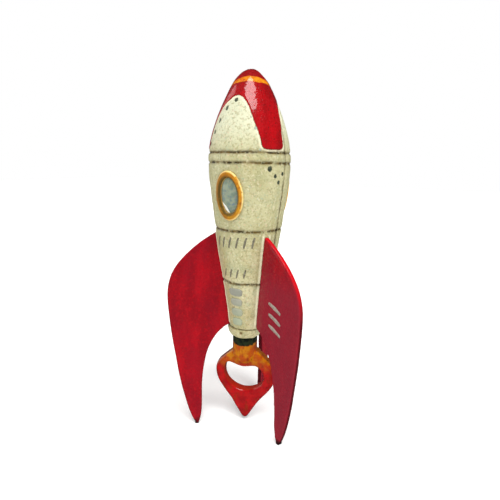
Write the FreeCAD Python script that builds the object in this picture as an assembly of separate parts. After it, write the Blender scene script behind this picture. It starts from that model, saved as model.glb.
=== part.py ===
import FreeCAD, Part
import math
import os

# A painted cast-metal rocket that stands on three swept fins.
# Its tail flame is a crown-cap bottle opener.
# Millimetres, +Z up.  The origin is on the floor, under the rocket's axis.
# An azimuth is counted from the front (-Y) towards +X, in degrees.

# ---- driving dimensions ----
HEIGHT = 229.2             # of the body's outline; the nose cap stands a little higher
BODY_TURN = -3.0           # the body sits a few degrees round from the fins' plane of symmetry
SEAM_TURN = -9.0           # and the plane that parts it is a few degrees further round
OPENER_TURN = 11.0         # and the opener is turned the other way
FIN_LEAN = 1.6             # each fin leans sideways, its foot towards the next azimuth
FIN_LEAN_HEIGHT = 95.0     # about this height
FIN_AZIMUTHS = {"left": -60.0, "right": 60.0, "back": 180.0}
PORT_AZIMUTHS = {"front": -2.6, "right": 142.0, "left": -142.0}

WALL = 3.5                 # thickness of the cast body
BODY_BOTTOM = 65.2         # end of the tail, where the opener's neck starts
BODY_TOP = 215.0           # end of the two half shells, under the nose cap
GROOVE_HEIGHTS = (182.4, 176.8, 137.3, 103.7)
GROOVE_DEPTH = 0.55
GROOVE_HALF_WIDTH = 0.7

CAP_BOTTOM = 184.2         # lower edge of the nose cap's three petals
CAP_PROUD = 0.35           # the cap stands this far out of the body
CAP_THICKNESS = 2.2
PETAL_CORNER = 3.4         # round the corner, measured along the body's surface
BOSS_RADIUS = 6.0          # inside the cap, for the tie rod
BOSS_BOTTOM = 205.0

PORT_HEIGHT = 158.2
PORT_HALF = (8.9, 14.2)    # half width and half height of a porthole's flange
GLASS_HALF = (5.7, 10.2)   # and of the glass that shows inside it
RING_PROUD = 1.3
FLANGE_OVERLAP = 0.9       # the flange covers the edge of the hole by this much
GLASS_SEAT = 0.9           # the glass is this much larger than the opening in front of it
GLASS_SUNK = 0.6           # from the body's surface down to the glass
FIT = 0.05                 # play between pieces that are pushed together

WINDOW_COUNT = 4
WINDOW_TOP = 98.0          # centre of the highest window on the tail
WINDOW_PITCH = 6.85
WINDOW_HEIGHT = 5.0
WINDOW_HALF_ANGLE = 18.0
WINDOW_AZIMUTH = -4.0
WINDOW_PROUD = 0.35
WINDOW_CORNER = 1.2

DIMPLE_RADIUS = 1.2
VENT_DIMPLES = ((54.8, 173.6), (64.2, 169.6), (78.0, 170.9), (71.0, 166.2))

FIN_THICKNESS = 3.3
FIN_EDGE = 1.1             # radius that rounds the fins' edges
FOOT_WIDTH = 2.4           # flat that the tip of each fin is worn to
FOOT_EXTRA = 0.2           # stock below the floor, which the flat takes off
TAB_SPANS = ((86.0, 95.0), (113.0, 123.0))
TAB_REACH = 4.2            # how far a tab goes into the hollow body
PIN_RADIUS = 0.9
PIN_HALF_LENGTH = 2.8
PIN_INSET = 1.7            # from the body's inner wall to the pin's axis

SOCKET_RADIUS = 7.45       # bore of the tail, for the opener's tang
SPIGOT_RADIUS = 8.7        # the tail's end, inside the collar
COLLAR_TOP = 72.0
TAIL_PIN_RADIUS = 1.1
TAIL_PIN_HEIGHT = 69.4
TAIL_PIN_SUNK = 0.3        # its ends are filed off below the collar's surface

LOOP_THICKNESS = 7.6
LOOP_EDGE = 2.2            # radius round the outside of the flame
MOUTH_EDGE = 1.6           # and round the mouth
NECK_RADIUS = 8.3
NECK_BOTTOM = 51.5
TAIL_OFFSET = 1.0          # neck and collar sit this far off the axis, along the loop's plane
TANG_TOP = 82.0

ROD_RADIUS = 2.0
ROD_BOTTOM = 73.5
ROD_TOP = 215.0

DOWEL_RADIUS = 0.9
DOWEL_HALF_LENGTH = 3.0
DOWEL_HEIGHTS = (128.0, 180.0)

# The body's outline: height above the floor and radius, from the tail to the nose.
BODY_OUTLINE = (
    (62.0, 9.7), (72.0, 11.4), (86.0, 13.0), (103.7, 15.6), (125.0, 18.9), (150.0, 22.3),
    (170.0, 24.5), (180.0, 24.6), (190.0, 23.2), (202.5, 19.3), (214.0, 14.2), (223.0, 9.2),
    (227.5, 4.9), (HEIGHT, 0.0),
)

# A fin's outline: distance from the axis and height.
FIN_OUTER = (
    (20.0, 134.2), (28.5, 128.9), (39.6, 119.6), (47.4, 109.9), (51.3, 99.0), (51.7, 88.0),
    (50.3, 71.0), (47.6, 51.0), (44.8, 34.0), (41.4, 18.4), (37.9, 6.9), (35.3, 0.9),
)
FIN_INNER = (
    (32.6, 0.9), (31.0, 7.5), (30.4, 18.4), (30.2, 31.0), (28.8, 43.0), (26.0, 54.9),
    (20.8, 64.9), (15.7, 70.4), (11.0, 73.0),
)

# The flame loop, in its own plane: distance from the axis and height.
LOOP_SIDE = (
    (9.9, 16.1), (16.9, 25.2), (20.3, 32.0), (20.8, 38.2), (19.4, 42.9), (15.6, 47.0),
    (11.2, 51.0), (9.3, 54.0),
)
TIP_HEIGHT = 2.0
TIP_RADIUS = 2.6
TIP_HALF_ANGLE = 58.0      # the rounded tip turns this far each way before the straight flanks

# The mouth, from its lowest point round the right and over the lip that lifts the cap.
# It lies under the neck, so a little to the left, and its upper right corner is cut short.
MOUTH = (
    (-0.8, 23.5), (5.2, 24.7), (10.2, 28.0), (12.8, 32.6), (12.7, 36.3), (10.6, 40.0), (7.6, 42.1),
    (3.6, 41.9), (-1.0, 41.1), (-7.6, 42.4), (-12.3, 43.0), (-14.5, 39.0), (-14.4, 33.4),
    (-11.9, 28.4), (-6.9, 24.8),
)

# The nose cap's petals leave three arched panels free.  Each arch has a full side and a slim one.
# Seen square on: distance from the arch's middle, and height.
ARCH_TOP = 213.4
ARCH_FULL = ((5.6, 211.3), (9.3, 208.4), (12.0, 204.6), (14.4, 200.0), (17.0, 193.6), (18.4, 187.4))
ARCH_SLIM = ((4.3, 210.9), (7.6, 206.4), (10.9, 200.0), (14.0, 193.6), (16.2, 187.4))
# Azimuth of each panel's middle, and how wide its left (full) and right (slim) sides are made.
PANELS = ((0.0, 1.0, 1.0), (130.0, 1.0, 0.87), (-124.0, 0.8, 0.87))

UP = FreeCAD.Vector(0, 0, 1)
ORIGIN = FreeCAD.Vector(0, 0, 0)


def place(shape, azimuth):
    """The shape, turned about the axis from the front to an azimuth."""
    turned = shape.copy()
    turned.rotate(ORIGIN, UP, azimuth)
    return turned


def front_plane(points):
    """Points given as (sideways, height), on the plane of the front view."""
    return [FreeCAD.Vector(across, 0, height) for across, height in points]


def spline(points, start=None, end=None):
    """A smooth edge through points on the front plane, with its end directions if they matter."""
    curve = Part.BSplineCurve()
    if start is None:
        curve.interpolate(front_plane(points))
    else:
        first, last = front_plane((start, end))
        curve.interpolate(Points=front_plane(points), InitialTangent=first, FinalTangent=last)
    return curve.toShape()


def line(start, end):
    a, b = front_plane((start, end))
    return Part.LineSegment(a, b).toShape()


def mirrored(points):
    return [(-across, height) for across, height in reversed(points)]


def solid_face(edges):
    return Part.Face(Part.Wire(Part.__sortEdges__(edges)))


def slab(edges, thickness):
    """A flat plate with this outline, centred on the front plane."""
    plate = solid_face(edges).extrude(FreeCAD.Vector(0, thickness, 0))
    plate.translate(FreeCAD.Vector(0, -thickness / 2, 0))
    return plate


def pointing_out(edges, length):
    """A prism with this outline, from the axis out through the front (-Y)."""
    return solid_face(edges).extrude(FreeCAD.Vector(0, -length, 0))


def rod(radius, start, end):
    """A round bar between two points."""
    a = FreeCAD.Vector(*start)
    b = FreeCAD.Vector(*end)
    return Part.makeCylinder(radius, (b - a).Length, a, b - a)


# ---- the body of revolution ----

def tail_to_nose(points):
    """A smooth curve through outline points on the front plane, level at the nose."""
    curve = Part.BSplineCurve()
    curve.interpolate(
        Points=points,
        InitialTangent=FreeCAD.Vector(0.18, 0, 1),
        FinalTangent=FreeCAD.Vector(-1, 0, 0),
    )
    return curve


CURVE = tail_to_nose([FreeCAD.Vector(radius, 0, height) for height, radius in BODY_OUTLINE])


def radius_at(height):
    """Radius of the body's outline at a height."""
    low, high = CURVE.FirstParameter, CURVE.LastParameter
    for _ in range(50):
        middle = (low + high) / 2
        if CURVE.value(middle).z < height:
            low = middle
        else:
            high = middle
    return CURVE.value((low + high) / 2).x


def offset_points(depth):
    """The outline's points, moved into the body by a depth measured square to its surface."""
    moved = []
    for height, radius in BODY_OUTLINE[:-1]:
        point = FreeCAD.Vector(radius, 0, height)
        tangent = FreeCAD.Vector(*CURVE.tangent(CURVE.parameter(point))[0])
        inward = FreeCAD.Vector(-tangent.z, 0, tangent.x)
        moved.append(point + inward * (depth / inward.Length))
    moved.append(FreeCAD.Vector(0, 0, HEIGHT - depth))
    return moved


def body_solid(depth=0.0):
    """The solid of revolution inside the body's surface, moved in by a depth."""
    points = offset_points(depth)
    bottom = FreeCAD.Vector(0, 0, points[0].z)
    edges = [
        tail_to_nose(points).toShape(),
        Part.LineSegment(points[-1], bottom).toShape(),
        Part.LineSegment(bottom, points[0]).toShape(),
    ]
    return solid_face(edges).revolve(ORIGIN, UP, 360)


def between(low, high):
    """A block that holds everything between two heights."""
    half = HEIGHT
    return Part.makeBox(2 * half, 2 * half, high - low, FreeCAD.Vector(-half, -half, low))


def skin(outer_depth, inner_depth, low, high):
    """A layer of the body between two depths and two heights."""
    return body_solid(outer_depth).cut(body_solid(inner_depth)).common(between(low, high))


def ring_groove(height):
    """A V-shaped ring that cuts a groove round the body."""
    radius = radius_at(height)
    bottom = radius - GROOVE_DEPTH
    lip = radius + GROOVE_DEPTH
    reach = GROOVE_HALF_WIDTH * (lip - bottom) / GROOVE_DEPTH
    edges = [
        line((bottom, height), (lip, height + reach)),
        line((lip, height + reach), (lip, height - reach)),
        line((lip, height - reach), (bottom, height)),
    ]
    return solid_face(edges).revolve(ORIGIN, UP, 360)


def dimple(azimuth, height, radius):
    """A ball, half sunk in the body's surface."""
    out = radius_at(height) + radius * 0.45
    ball = Part.makeSphere(radius, FreeCAD.Vector(0, -out, height))
    return place(ball, azimuth)


def oval(half_width, half_height, length):
    """An oval prism through the wall at the front, at the portholes' height."""
    outline = Part.Ellipse(
        FreeCAD.Vector(0, 0, PORT_HEIGHT + half_height),
        FreeCAD.Vector(half_width, 0, PORT_HEIGHT),
        FreeCAD.Vector(0, 0, PORT_HEIGHT),
    )
    return pointing_out([outline.toShape()], length)


def window(index):
    """One raised, round-cornered window on the front of the tail."""
    middle = WINDOW_TOP - index * WINDOW_PITCH
    half = radius_at(middle) * math.sin(math.radians(WINDOW_HALF_ANGLE))
    block = Part.makeBox(
        2 * half, HEIGHT, WINDOW_HEIGHT,
        FreeCAD.Vector(-half, -HEIGHT, middle - WINDOW_HEIGHT / 2),
    )
    corners = [e for e in block.Edges if abs(e.tangentAt(e.FirstParameter).y) > 0.9]
    block = block.makeFillet(WINDOW_CORNER, corners)
    return place(block, WINDOW_AZIMUTH)


# ---- nose cap ----

def arch_corner(sign, side):
    """The end of an arch's side and the rounded corner of the petal beside it."""
    across, height = side[-1]
    corner = PETAL_CORNER * math.sqrt(1 - (across / radius_at(height)) ** 2)
    bend = (across + 0.35 * corner, height + 0.72 * (CAP_BOTTOM - height))
    return [(sign * x, z) for x, z in (side[-1], bend, (across + corner, CAP_BOTTOM))]


def arch(left_width, right_width):
    """The prism that clears one panel between two petals."""
    full = [(across * left_width, height) for across, height in ARCH_FULL]
    slim = [(across * right_width, height) for across, height in ARCH_SLIM]
    left, right = arch_corner(-1, full), arch_corner(1, slim)
    below = CAP_BOTTOM - 2.0
    left_end, right_end = (left[-1][0], below), (right[-1][0], below)
    edges = [
        spline(mirrored(full) + [(0.0, ARCH_TOP)] + slim),
        spline(left),
        spline(right),
        line(left[-1], left_end),
        line(right[-1], right_end),
        line(left_end, right_end),
    ]
    return pointing_out(edges, HEIGHT)


def cap_region(outer_depth):
    """The nose cap's dome and petals, without its boss."""
    region = skin(outer_depth, CAP_THICKNESS - CAP_PROUD, CAP_BOTTOM, HEIGHT + 1)
    for azimuth, left_width, right_width in PANELS:
        region = region.cut(place(arch(left_width, right_width), azimuth))
    return region


def nose_cap():
    cap = cap_region(-CAP_PROUD)
    boss = rod(BOSS_RADIUS, (0, 0, BOSS_BOTTOM), (0, 0, HEIGHT - 3))
    boss = boss.common(body_solid(CAP_THICKNESS / 2))
    hole = rod(ROD_RADIUS, (0, 0, BOSS_BOTTOM - 1), (0, 0, ROD_TOP))
    return place(cap.fuse(boss).cut(hole), BODY_TURN)


# ---- the two half shells ----

def leaning(shape):
    """A front-facing fin, or what belongs to one, tilted sideways as the fins lean."""
    tilted = shape.copy()
    tilted.rotate(FreeCAD.Vector(0, 0, FIN_LEAN_HEIGHT), FreeCAD.Vector(0, -1, 0), FIN_LEAN)
    return tilted


def tab_box(span, play):
    """The block that one fin tab, or its slot, takes up in front of the axis."""
    low, high = span
    inner = radius_at(low) - WALL - TAB_REACH
    outer = radius_at(high) + 1.0
    return Part.makeBox(
        FIN_THICKNESS + 2 * play, outer - inner, high - low + 2 * play,
        FreeCAD.Vector(-FIN_THICKNESS / 2 - play, -outer, low - play),
    )


def body_shell():
    """The whole hollow body, before it is split."""
    cavity = body_solid(WALL).common(between(TANG_TOP, HEIGHT))
    socket = rod(SOCKET_RADIUS, (0, 0, 0), (0, 0, HEIGHT / 2))
    shell = body_solid().common(between(BODY_BOTTOM, BODY_TOP))
    for index in range(WINDOW_COUNT):
        shell = shell.fuse(window(index).common(skin(-WINDOW_PROUD, 1.0, COLLAR_TOP, 110.0)))
    shell = shell.cut([cavity, socket, cap_region(-CAP_PROUD - 1.0)])
    round_spigot = between(0, COLLAR_TOP).cut(rod(SPIGOT_RADIUS, (0, 0, 0), (0, 0, COLLAR_TOP)))
    shell = shell.cut([round_spigot] + [ring_groove(height) for height in GROOVE_HEIGHTS])
    hole = oval(PORT_HALF[0] - FLANGE_OVERLAP, PORT_HALF[1] - FLANGE_OVERLAP, HEIGHT)
    shell = shell.cut([place(hole, azimuth) for azimuth in PORT_AZIMUTHS.values()])
    shell = shell.cut([dimple(azimuth, height, DIMPLE_RADIUS) for azimuth, height in VENT_DIMPLES])
    shell = place(shell, BODY_TURN)
    for azimuth in FIN_AZIMUTHS.values():
        shell = shell.cut([place(leaning(tab_box(span, FIT)), azimuth) for span in TAB_SPANS])
    return shell.cut(tail_pin())


def dowels():
    """Four pins across the seam, in the thickness of the wall."""
    pins = []
    for height in DOWEL_HEIGHTS:
        middle = radius_at(height) - WALL / 2
        for side in (-middle, middle):
            pin = rod(DOWEL_RADIUS, (side, -DOWEL_HALF_LENGTH, height), (side, DOWEL_HALF_LENGTH, height))
            pins.append(place(pin, SEAM_TURN))
    return Part.makeCompound(pins)


def half_shells():
    """The body, parted along a plane through its axis."""
    shell = body_shell().cut(dowels())
    front = Part.makeBox(4 * HEIGHT, 2 * HEIGHT, 2 * HEIGHT, FreeCAD.Vector(-2 * HEIGHT, -2 * HEIGHT, 0))
    front = place(front, SEAM_TURN)
    return shell.common(front), shell.cut(front)


# ---- portholes ----

def porthole_ring(azimuth):
    half_width, half_height = PORT_HALF
    low, high = PORT_HEIGHT - 20, PORT_HEIGHT + 20
    flange = oval(half_width, half_height, HEIGHT).common(skin(-RING_PROUD, 0.0, low, high))
    barrel = oval(half_width - FLANGE_OVERLAP - FIT, half_height - FLANGE_OVERLAP - FIT, HEIGHT)
    ring = flange.fuse(barrel.common(skin(-0.1, WALL, low, high)))
    seat = oval(GLASS_HALF[0] + GLASS_SEAT, GLASS_HALF[1] + GLASS_SEAT, HEIGHT)
    seat = seat.common(skin(GLASS_SUNK, WALL + 1, low, high))
    ring = ring.cut([oval(GLASS_HALF[0], GLASS_HALF[1], HEIGHT), seat])
    return place(ring, azimuth + BODY_TURN)


def porthole_glass(azimuth):
    low, high = PORT_HEIGHT - 20, PORT_HEIGHT + 20
    pane = oval(GLASS_HALF[0] + GLASS_SEAT - FIT, GLASS_HALF[1] + GLASS_SEAT - FIT, HEIGHT)
    return place(pane.common(skin(GLASS_SUNK, WALL, low, high)), azimuth + BODY_TURN)


# ---- fins ----

def fin_outline():
    top = FIN_OUTER[0]
    root = FIN_INNER[-1]
    foot_middle = (FIN_OUTER[-1][0] + FIN_INNER[0][0]) / 2
    heel = (foot_middle - FOOT_WIDTH / 2, -FOOT_EXTRA)
    toe = (foot_middle + FOOT_WIDTH / 2, -FOOT_EXTRA)
    return [
        spline(FIN_OUTER), line(FIN_OUTER[-1], toe), line(toe, heel), line(heel, FIN_INNER[0]),
        spline(FIN_INNER), line(root, (0.0, root[1])), line((0.0, root[1]), (0.0, top[1])),
        line((0.0, top[1]), top),
    ]


def fin(azimuth):
    """A swept, leaning fin with two root tabs, each drilled for its pin."""
    blade = slab(fin_outline(), FIN_THICKNESS)
    swept = [e for e in blade.Edges if e.Length > 100 and abs(e.valueAt(e.FirstParameter).y) > 1]
    blade = blade.makeFillet(FIN_EDGE, swept)
    blade.rotate(ORIGIN, UP, -90)
    blade = leaning(blade).cut(body_solid()).common(between(0.0, HEIGHT))
    for span in TAB_SPANS:
        blade = blade.fuse(leaning(tab_box(span, 0.0)))
    pins = [fin_pin(span) for span in TAB_SPANS]
    return place(blade.cut(pins), azimuth)


def fin_pin(span):
    """The cross pin of a front-facing tab, close to the inside of the body's wall."""
    height = sum(span) / 2
    out = radius_at(height) - WALL - PIN_INSET
    return leaning(rod(PIN_RADIUS, (-PIN_HALF_LENGTH, -out, height), (PIN_HALF_LENGTH, -out, height)))


def fin_pins(azimuth):
    return Part.makeCompound([place(fin_pin(span), azimuth) for span in TAB_SPANS])


# ---- tail ----

def tail_pin():
    """The pin that goes through collar, tail and tang."""
    reach = radius_at(TAIL_PIN_HEIGHT) - TAIL_PIN_SUNK
    pin = rod(TAIL_PIN_RADIUS, (0, -reach, TAIL_PIN_HEIGHT), (0, reach, TAIL_PIN_HEIGHT))
    return place(pin, OPENER_TURN)


def off_centre():
    """How far the neck and the collar are moved, once they are turned."""
    turn = math.radians(OPENER_TURN)
    return FreeCAD.Vector(-TAIL_OFFSET * math.cos(turn), -TAIL_OFFSET * math.sin(turn), 0)


def tail_collar():
    """A rounded, off-centre band round the end of the tail, with a groove above it."""
    rim = radius_at(COLLAR_TOP)
    lip = SPIGOT_RADIUS + TAIL_OFFSET + 0.5
    bulge = ((rim - 0.5, COLLAR_TOP), (rim + 0.2, COLLAR_TOP - 0.9), (rim - 0.4, 68.6), (lip, BODY_BOTTOM))
    edges = [
        line((0.0, COLLAR_TOP), bulge[0]),
        spline(bulge),
        line(bulge[-1], (0.0, BODY_BOTTOM)),
        line((0.0, BODY_BOTTOM), (0.0, COLLAR_TOP)),
    ]
    band = solid_face(edges).revolve(ORIGIN, UP, 360)
    band.translate(off_centre())
    bore = rod(SPIGOT_RADIUS + FIT, (0, 0, 0), (0, 0, HEIGHT))
    return band.cut([bore, tail_pin()])


def flame_outline():
    turn = math.radians(TIP_HALF_ANGLE)
    end = (TIP_RADIUS * math.sin(turn), TIP_HEIGHT + TIP_RADIUS * (1 - math.cos(turn)))
    tip = Part.Arc(*front_plane(((-end[0], end[1]), (0.0, TIP_HEIGHT), end)))
    side = [end] + list(LOOP_SIDE)
    leaving = (math.cos(turn), math.sin(turn))
    right = spline(side, leaving, (0.0, 1.0))
    left = spline(mirrored(side), (0.0, -1.0), (leaving[0], -leaving[1]))
    top = LOOP_SIDE[-1]
    return [tip.toShape(), right, left, line((-top[0], top[1]), top)]


def mouth_outline():
    curve = Part.BSplineCurve()
    curve.interpolate(Points=front_plane(MOUTH), PeriodicFlag=True)
    return [curve.toShape()]


def opener():
    """The flame: a flat loop with the cap lifter's lip, a round neck and a tang for the tail."""
    loop = slab(flame_outline(), LOOP_THICKNESS)
    rims = [e for e in loop.Edges if e.BoundBox.YLength < 0.1 and e.BoundBox.ZLength > 1]
    loop = loop.makeFillet(LOOP_EDGE, rims)
    loop = loop.cut(slab(mouth_outline(), 2 * LOOP_THICKNESS))
    rims = [e for e in loop.Edges if e.BoundBox.YLength < 0.1 and min(-e.BoundBox.XMin, e.BoundBox.XMax) > 5]
    loop = loop.makeFillet(MOUTH_EDGE, rims)
    loop = place(loop, OPENER_TURN)
    neck = rod(NECK_RADIUS, (0, 0, NECK_BOTTOM), (0, 0, BODY_BOTTOM))
    shoulder = Part.makeSphere(NECK_RADIUS, FreeCAD.Vector(0, 0, NECK_BOTTOM))
    for piece in (neck, shoulder):
        piece.translate(off_centre())
    tang = rod(SOCKET_RADIUS - FIT, (0, 0, BODY_BOTTOM - 1), (0, 0, TANG_TOP - 0.5))
    thread = rod(ROD_RADIUS, (0, 0, ROD_BOTTOM), (0, 0, TANG_TOP + 1))
    return loop.fuse([neck, shoulder, tang]).cut([thread, tail_pin()])


def tie_rod():
    return rod(ROD_RADIUS, (0, 0, ROD_BOTTOM), (0, 0, ROD_TOP))


# ---- all nodes ----

def build_nodes():
    front, back = half_shells()
    nodes = {
        "hull_front": front,
        "hull_back": back,
        "nose_cap": nose_cap(),
        "seam_dowels": dowels(),
        "tie_rod": tie_rod(),
        "tail_collar": tail_collar(),
        "tail_pin": tail_pin(),
        "opener_flame": opener(),
    }
    for side, azimuth in PORT_AZIMUTHS.items():
        nodes["porthole_ring_" + side] = porthole_ring(azimuth)
        nodes["porthole_glass_" + side] = porthole_glass(azimuth)
    for side, azimuth in FIN_AZIMUTHS.items():
        nodes["fin_" + side] = fin(azimuth)
        nodes["fin_pins_" + side] = fin_pins(azimuth)
    return nodes


os.makedirs("parts", exist_ok=True)
for name, shape in build_nodes().items():
    solids = shape.Solids
    whole = solids[0] if len(solids) == 1 else Part.makeCompound(solids)
    volume = whole.Volume / 1000
    print(f"{name:24s} solids {len(solids)}  volume {volume:8.2f} cm3  valid {whole.isValid()}")
    whole.exportStep(f"parts/{name}.step")
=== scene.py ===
import math
import random

import bmesh
import bpy
import numpy as np
from mathutils import Matrix, Vector, noise


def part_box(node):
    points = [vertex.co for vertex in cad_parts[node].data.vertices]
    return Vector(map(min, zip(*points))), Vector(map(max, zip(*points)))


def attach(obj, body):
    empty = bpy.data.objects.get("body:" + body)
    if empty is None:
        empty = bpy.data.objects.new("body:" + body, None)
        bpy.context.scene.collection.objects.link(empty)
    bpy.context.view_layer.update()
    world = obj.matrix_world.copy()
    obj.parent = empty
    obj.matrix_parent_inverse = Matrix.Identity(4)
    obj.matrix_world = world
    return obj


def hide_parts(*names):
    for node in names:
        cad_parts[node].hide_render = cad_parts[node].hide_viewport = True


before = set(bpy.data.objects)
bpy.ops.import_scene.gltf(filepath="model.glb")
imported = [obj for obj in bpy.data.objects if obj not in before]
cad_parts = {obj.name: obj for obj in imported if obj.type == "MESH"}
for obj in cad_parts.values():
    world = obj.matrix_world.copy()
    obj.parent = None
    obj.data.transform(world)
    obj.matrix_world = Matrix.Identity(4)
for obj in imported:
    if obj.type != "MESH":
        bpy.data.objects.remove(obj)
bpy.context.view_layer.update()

# A painted cast rocket whose tail flame is a bottle opener.  Lengths are millimetres up to
# make_piece, which turns them into metres.  Azimuths are degrees from the front (-Y) towards
# +X; on the body they start from its own front, BODY_TURN.
MM = 0.001

# ---- sizes shared with the castings ----
BODY_TURN = -3.0
SEAM_TURN = -9.0
SEAM_AT = SEAM_TURN - BODY_TURN
OPENER_TURN = 11.0
FIN_AZIMUTHS = {"left": -60.0, "right": 60.0, "back": 180.0}
PORT_AZIMUTHS = {"front": -2.6, "right": 142.0, "left": -142.0}
WALL = 3.5
GROOVES = (182.4, 176.8, 137.3, 103.7)
BELT_LOW, BELT_HIGH = GROOVES[1], GROOVES[0]
COLLAR_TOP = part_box("tail_collar")[1].z / MM
COLLAR_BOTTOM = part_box("tail_collar")[0].z / MM
BODY_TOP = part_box("hull_front")[1].z / MM
CAP_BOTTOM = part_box("nose_cap")[0].z / MM
CAP_PROUD = 0.35
CAP_THICKNESS = 2.2
SPIGOT_RADIUS = 8.7
TAIL_OFFSET = 1.0
PIN_HEIGHT = 69.6
PORT_HEIGHT = 158.2
PORT_HALF = np.array([8.9, 14.2])
GLASS_HALF = np.array([5.7, 10.2])
FIN_ROOT = (73.0, 134.0)
FIN_HALF_THICKNESS = 1.65
FIN_LEAN = 1.6
FIN_LEAN_HEIGHT = 95.0     # where a leaning fin crosses its upright plane

BODY_OUTLINE = (           # height and radius
    (62.0, 9.7), (72.0, 11.4), (86.0, 13.0), (103.7, 15.6), (125.0, 18.9), (150.0, 22.3),
    (170.0, 24.5), (180.0, 24.6), (190.0, 23.2), (202.5, 19.3), (214.0, 14.2), (223.0, 9.2),
    (227.5, 4.9), (229.2, 0.0),
)
PETAL_CORNER = 3.4
ARCH_TOP = 213.4
ARCH_FULL = (              # an arch's left side: distance from its middle, and height
    (5.6, 211.3), (9.3, 208.4), (12.0, 204.6), (14.4, 200.0), (17.0, 193.6), (18.4, 187.4),
)
ARCH_SLIM = ((4.3, 210.9), (7.6, 206.4), (10.9, 200.0), (14.0, 193.6), (16.2, 187.4))
PANELS = ((0.0, 1.0, 1.0), (130.0, 1.0, 0.87), (-124.0, 0.8, 0.87))   # azimuth, side widths

OPENER_SIDE = np.array([math.cos(math.radians(OPENER_TURN)),
                        math.sin(math.radians(OPENER_TURN)), 0.0])
TAIL_SHIFT = -TAIL_OFFSET * OPENER_SIDE

# ---- sizes of the painted and cast detail ----
CELL = 0.55                # spacing of the fine surface grids
BODY_WALL = WALL - 1.0     # thinner, to stay clear of what is inside
CAP_WALL = CAP_THICKNESS - 0.25
BODY_ROUGH = ((0.18, 11, 3), (0.07, 2.6, 4), (0.05, 1.2, 5))     # height, size, seed
CAP_ROUGH = ((0.12, 7, 1), (0.05, 1.8, 2), (0.03, 1.0, 3))
COLLAR_ROUGH = ((0.22, 4, 1), (0.07, 1.5, 2))
CAP_ROUNDING = 0.9
CAP_STOP = 0.15            # the cap's last ring is this far from its tip
TIP_DROP = (220.0, 226.0)  # over these heights the tip's back half gets lower
CREASE_HEIGHT = 189.0      # a thread of paint across a petal's foot
CREASE_AZIMUTH = 62
GROOVE_DEPTH = 0.8
GROOVE_WIDTH = 0.68
SEAM_DEPTH = 0.6
SEAM_WIDTH = 0.65
SECOND_SEAM = 1.5          # a finer line beside the seam
BACK_STEP = 0.22           # the back casting stands this far out of the front one
BEAD_HEIGHT = 0.55
BEAD_WIDTH = 0.75
STRIPE_HEIGHT = 219.7      # the nose's orange stripe, at its lowest
STRIPE_RISE = 2.7          # it arches up to the side that faces STRIPE_SIDE
STRIPE_WIDTH = 1.9
STRIPE_WIDENING = 1.1
STRIPE_SIDE = 27.0
VENT_DIMPLES = (           # azimuth, height, radius
    (54.8, 173.6, 1.45), (64.2, 169.6, 1.1), (78.0, 170.9, 1.05), (71.0, 166.2, 1.1),
)
FRONT_RIVETS = (           # azimuth, height, half width, half height
    (-2.5, 210.8, 1.25, 1.2), (-20.5, 206.6, 1.1, 1.45), (-29.5, 199.9, 0.95, 1.4),
    (-36.5, 193.8, 0.85, 1.3), (-45.0, 187.1, 0.8, 1.2),
)
FAINT_RIVETS = (
    (18.5, 206.9, 0.6, 0.5), (28.5, 201.3, 0.8, 0.8), (35.5, 195.2, 1.0, 0.95),
    (38.0, 189.6, 1.05, 1.1), (41.0, 184.0, 0.7, 0.7),
)
SIDE_RIVETS = (207.0, 200.5, 194.5, 188.5)
RIVET_INSET = 1.9
PANE_OVERLAP = np.array([1.06, 1.04])
GLASS_SUNK = 0.6
GLASS_DOME = 0.7
# the painted highlight on each pane
GLINT_START, GLINT_SWEEP = 180, 66
GLINT_WIDTH = 0.3          # as a share of the pane's half size
WINDOW_TOP = 98.0
WINDOW_PITCH = 6.85
WINDOW_HALF_HEIGHT = 2.55
WINDOW_HALF_ANGLE = 18.5
WINDOW_WIDTHS = (1.0, 0.93, 0.98, 0.9)
WINDOW_AZIMUTH = -3.0
STROKE_ROWS = (            # name, count, first, pitch, half slant, low, high, width, seed
    ("upper", 6, -12.0, 4.9, 1.0, 126.6, 133.2, 1.25, 0),
    ("lower", 4, -7.6, 4.6, 0.8, 107.6, 113.0, 1.1, 7),
)
STROKE_RISE = 0.2          # each stroke is this much higher than the last
FIN_BARS = 3
BAR_REACH = (24.5, 35.5)
BAR_HEIGHT, BAR_PITCH = 77.5, 7.2
BAR_ENDS = (2.4, -1.6)
FIN_PAINT = {              # painted highlight on the leading edge, painted mauve reflection
    "left": (0.1, 0.0), "right": (0.75, 0.7), "back": (0.3, 0.4),
}
MOUTH_HALF = (17.0, 13.5)  # an oval round the opener's mouth, within its outer edges
MOUTH_HEIGHT = 33.5
NECK_BLACK = 58.6          # the neck is black from here up

# ---- camera and light ----
VIEW_AZIMUTH = 24.3
CAMERA_DISTANCE = 236.4
CAMERA_HEIGHT = 176.3
CAMERA_PAN = 0.31
CAMERA_TILT = 12.87
CAMERA_ROLL = -1.03
LENS_WIDTHS = 0.7552       # focal length as a share of the sensor's width
SENSOR = 36.0
WHITE = (1.0, 1.0, 1.0, 1.0)
WORLD_DIFFUSE = 0.5
WORLD_GLOSSY = 0.04
FLOOR_GLOW = 0.15          # a lit table top, which keeps the shadow faint
FLOOR_HALF = 3000.0
FLOOR_POINTS = 9
FLOOR_DROP = 0.05
SUNS = (       # azimuth from the camera, elevation, strength, angle, lights matt, seen in gloss
    (50.0, 54.0, 1.2, 25.0, True, False),
    (-4.0, 65.5, 1.85, 33.0, True, True),
    (-105.0, 15.0, 1.1, 60.0, False, True),
    (-100.0, 30.0, 0.15, 60.0, True, False),
)


def linear(red, green, blue):
    """A colour given as 0-255 screen values, for a shader."""
    def channel(value):
        share = value / 255
        return share / 12.92 if share <= 0.04045 else ((share + 0.055) / 1.055) ** 2.4
    return (channel(red), channel(green), channel(blue), 1.0)


# ---- the body's surface ----

def totals(steps):
    return np.concatenate([[0], np.cumsum(steps)])


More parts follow.
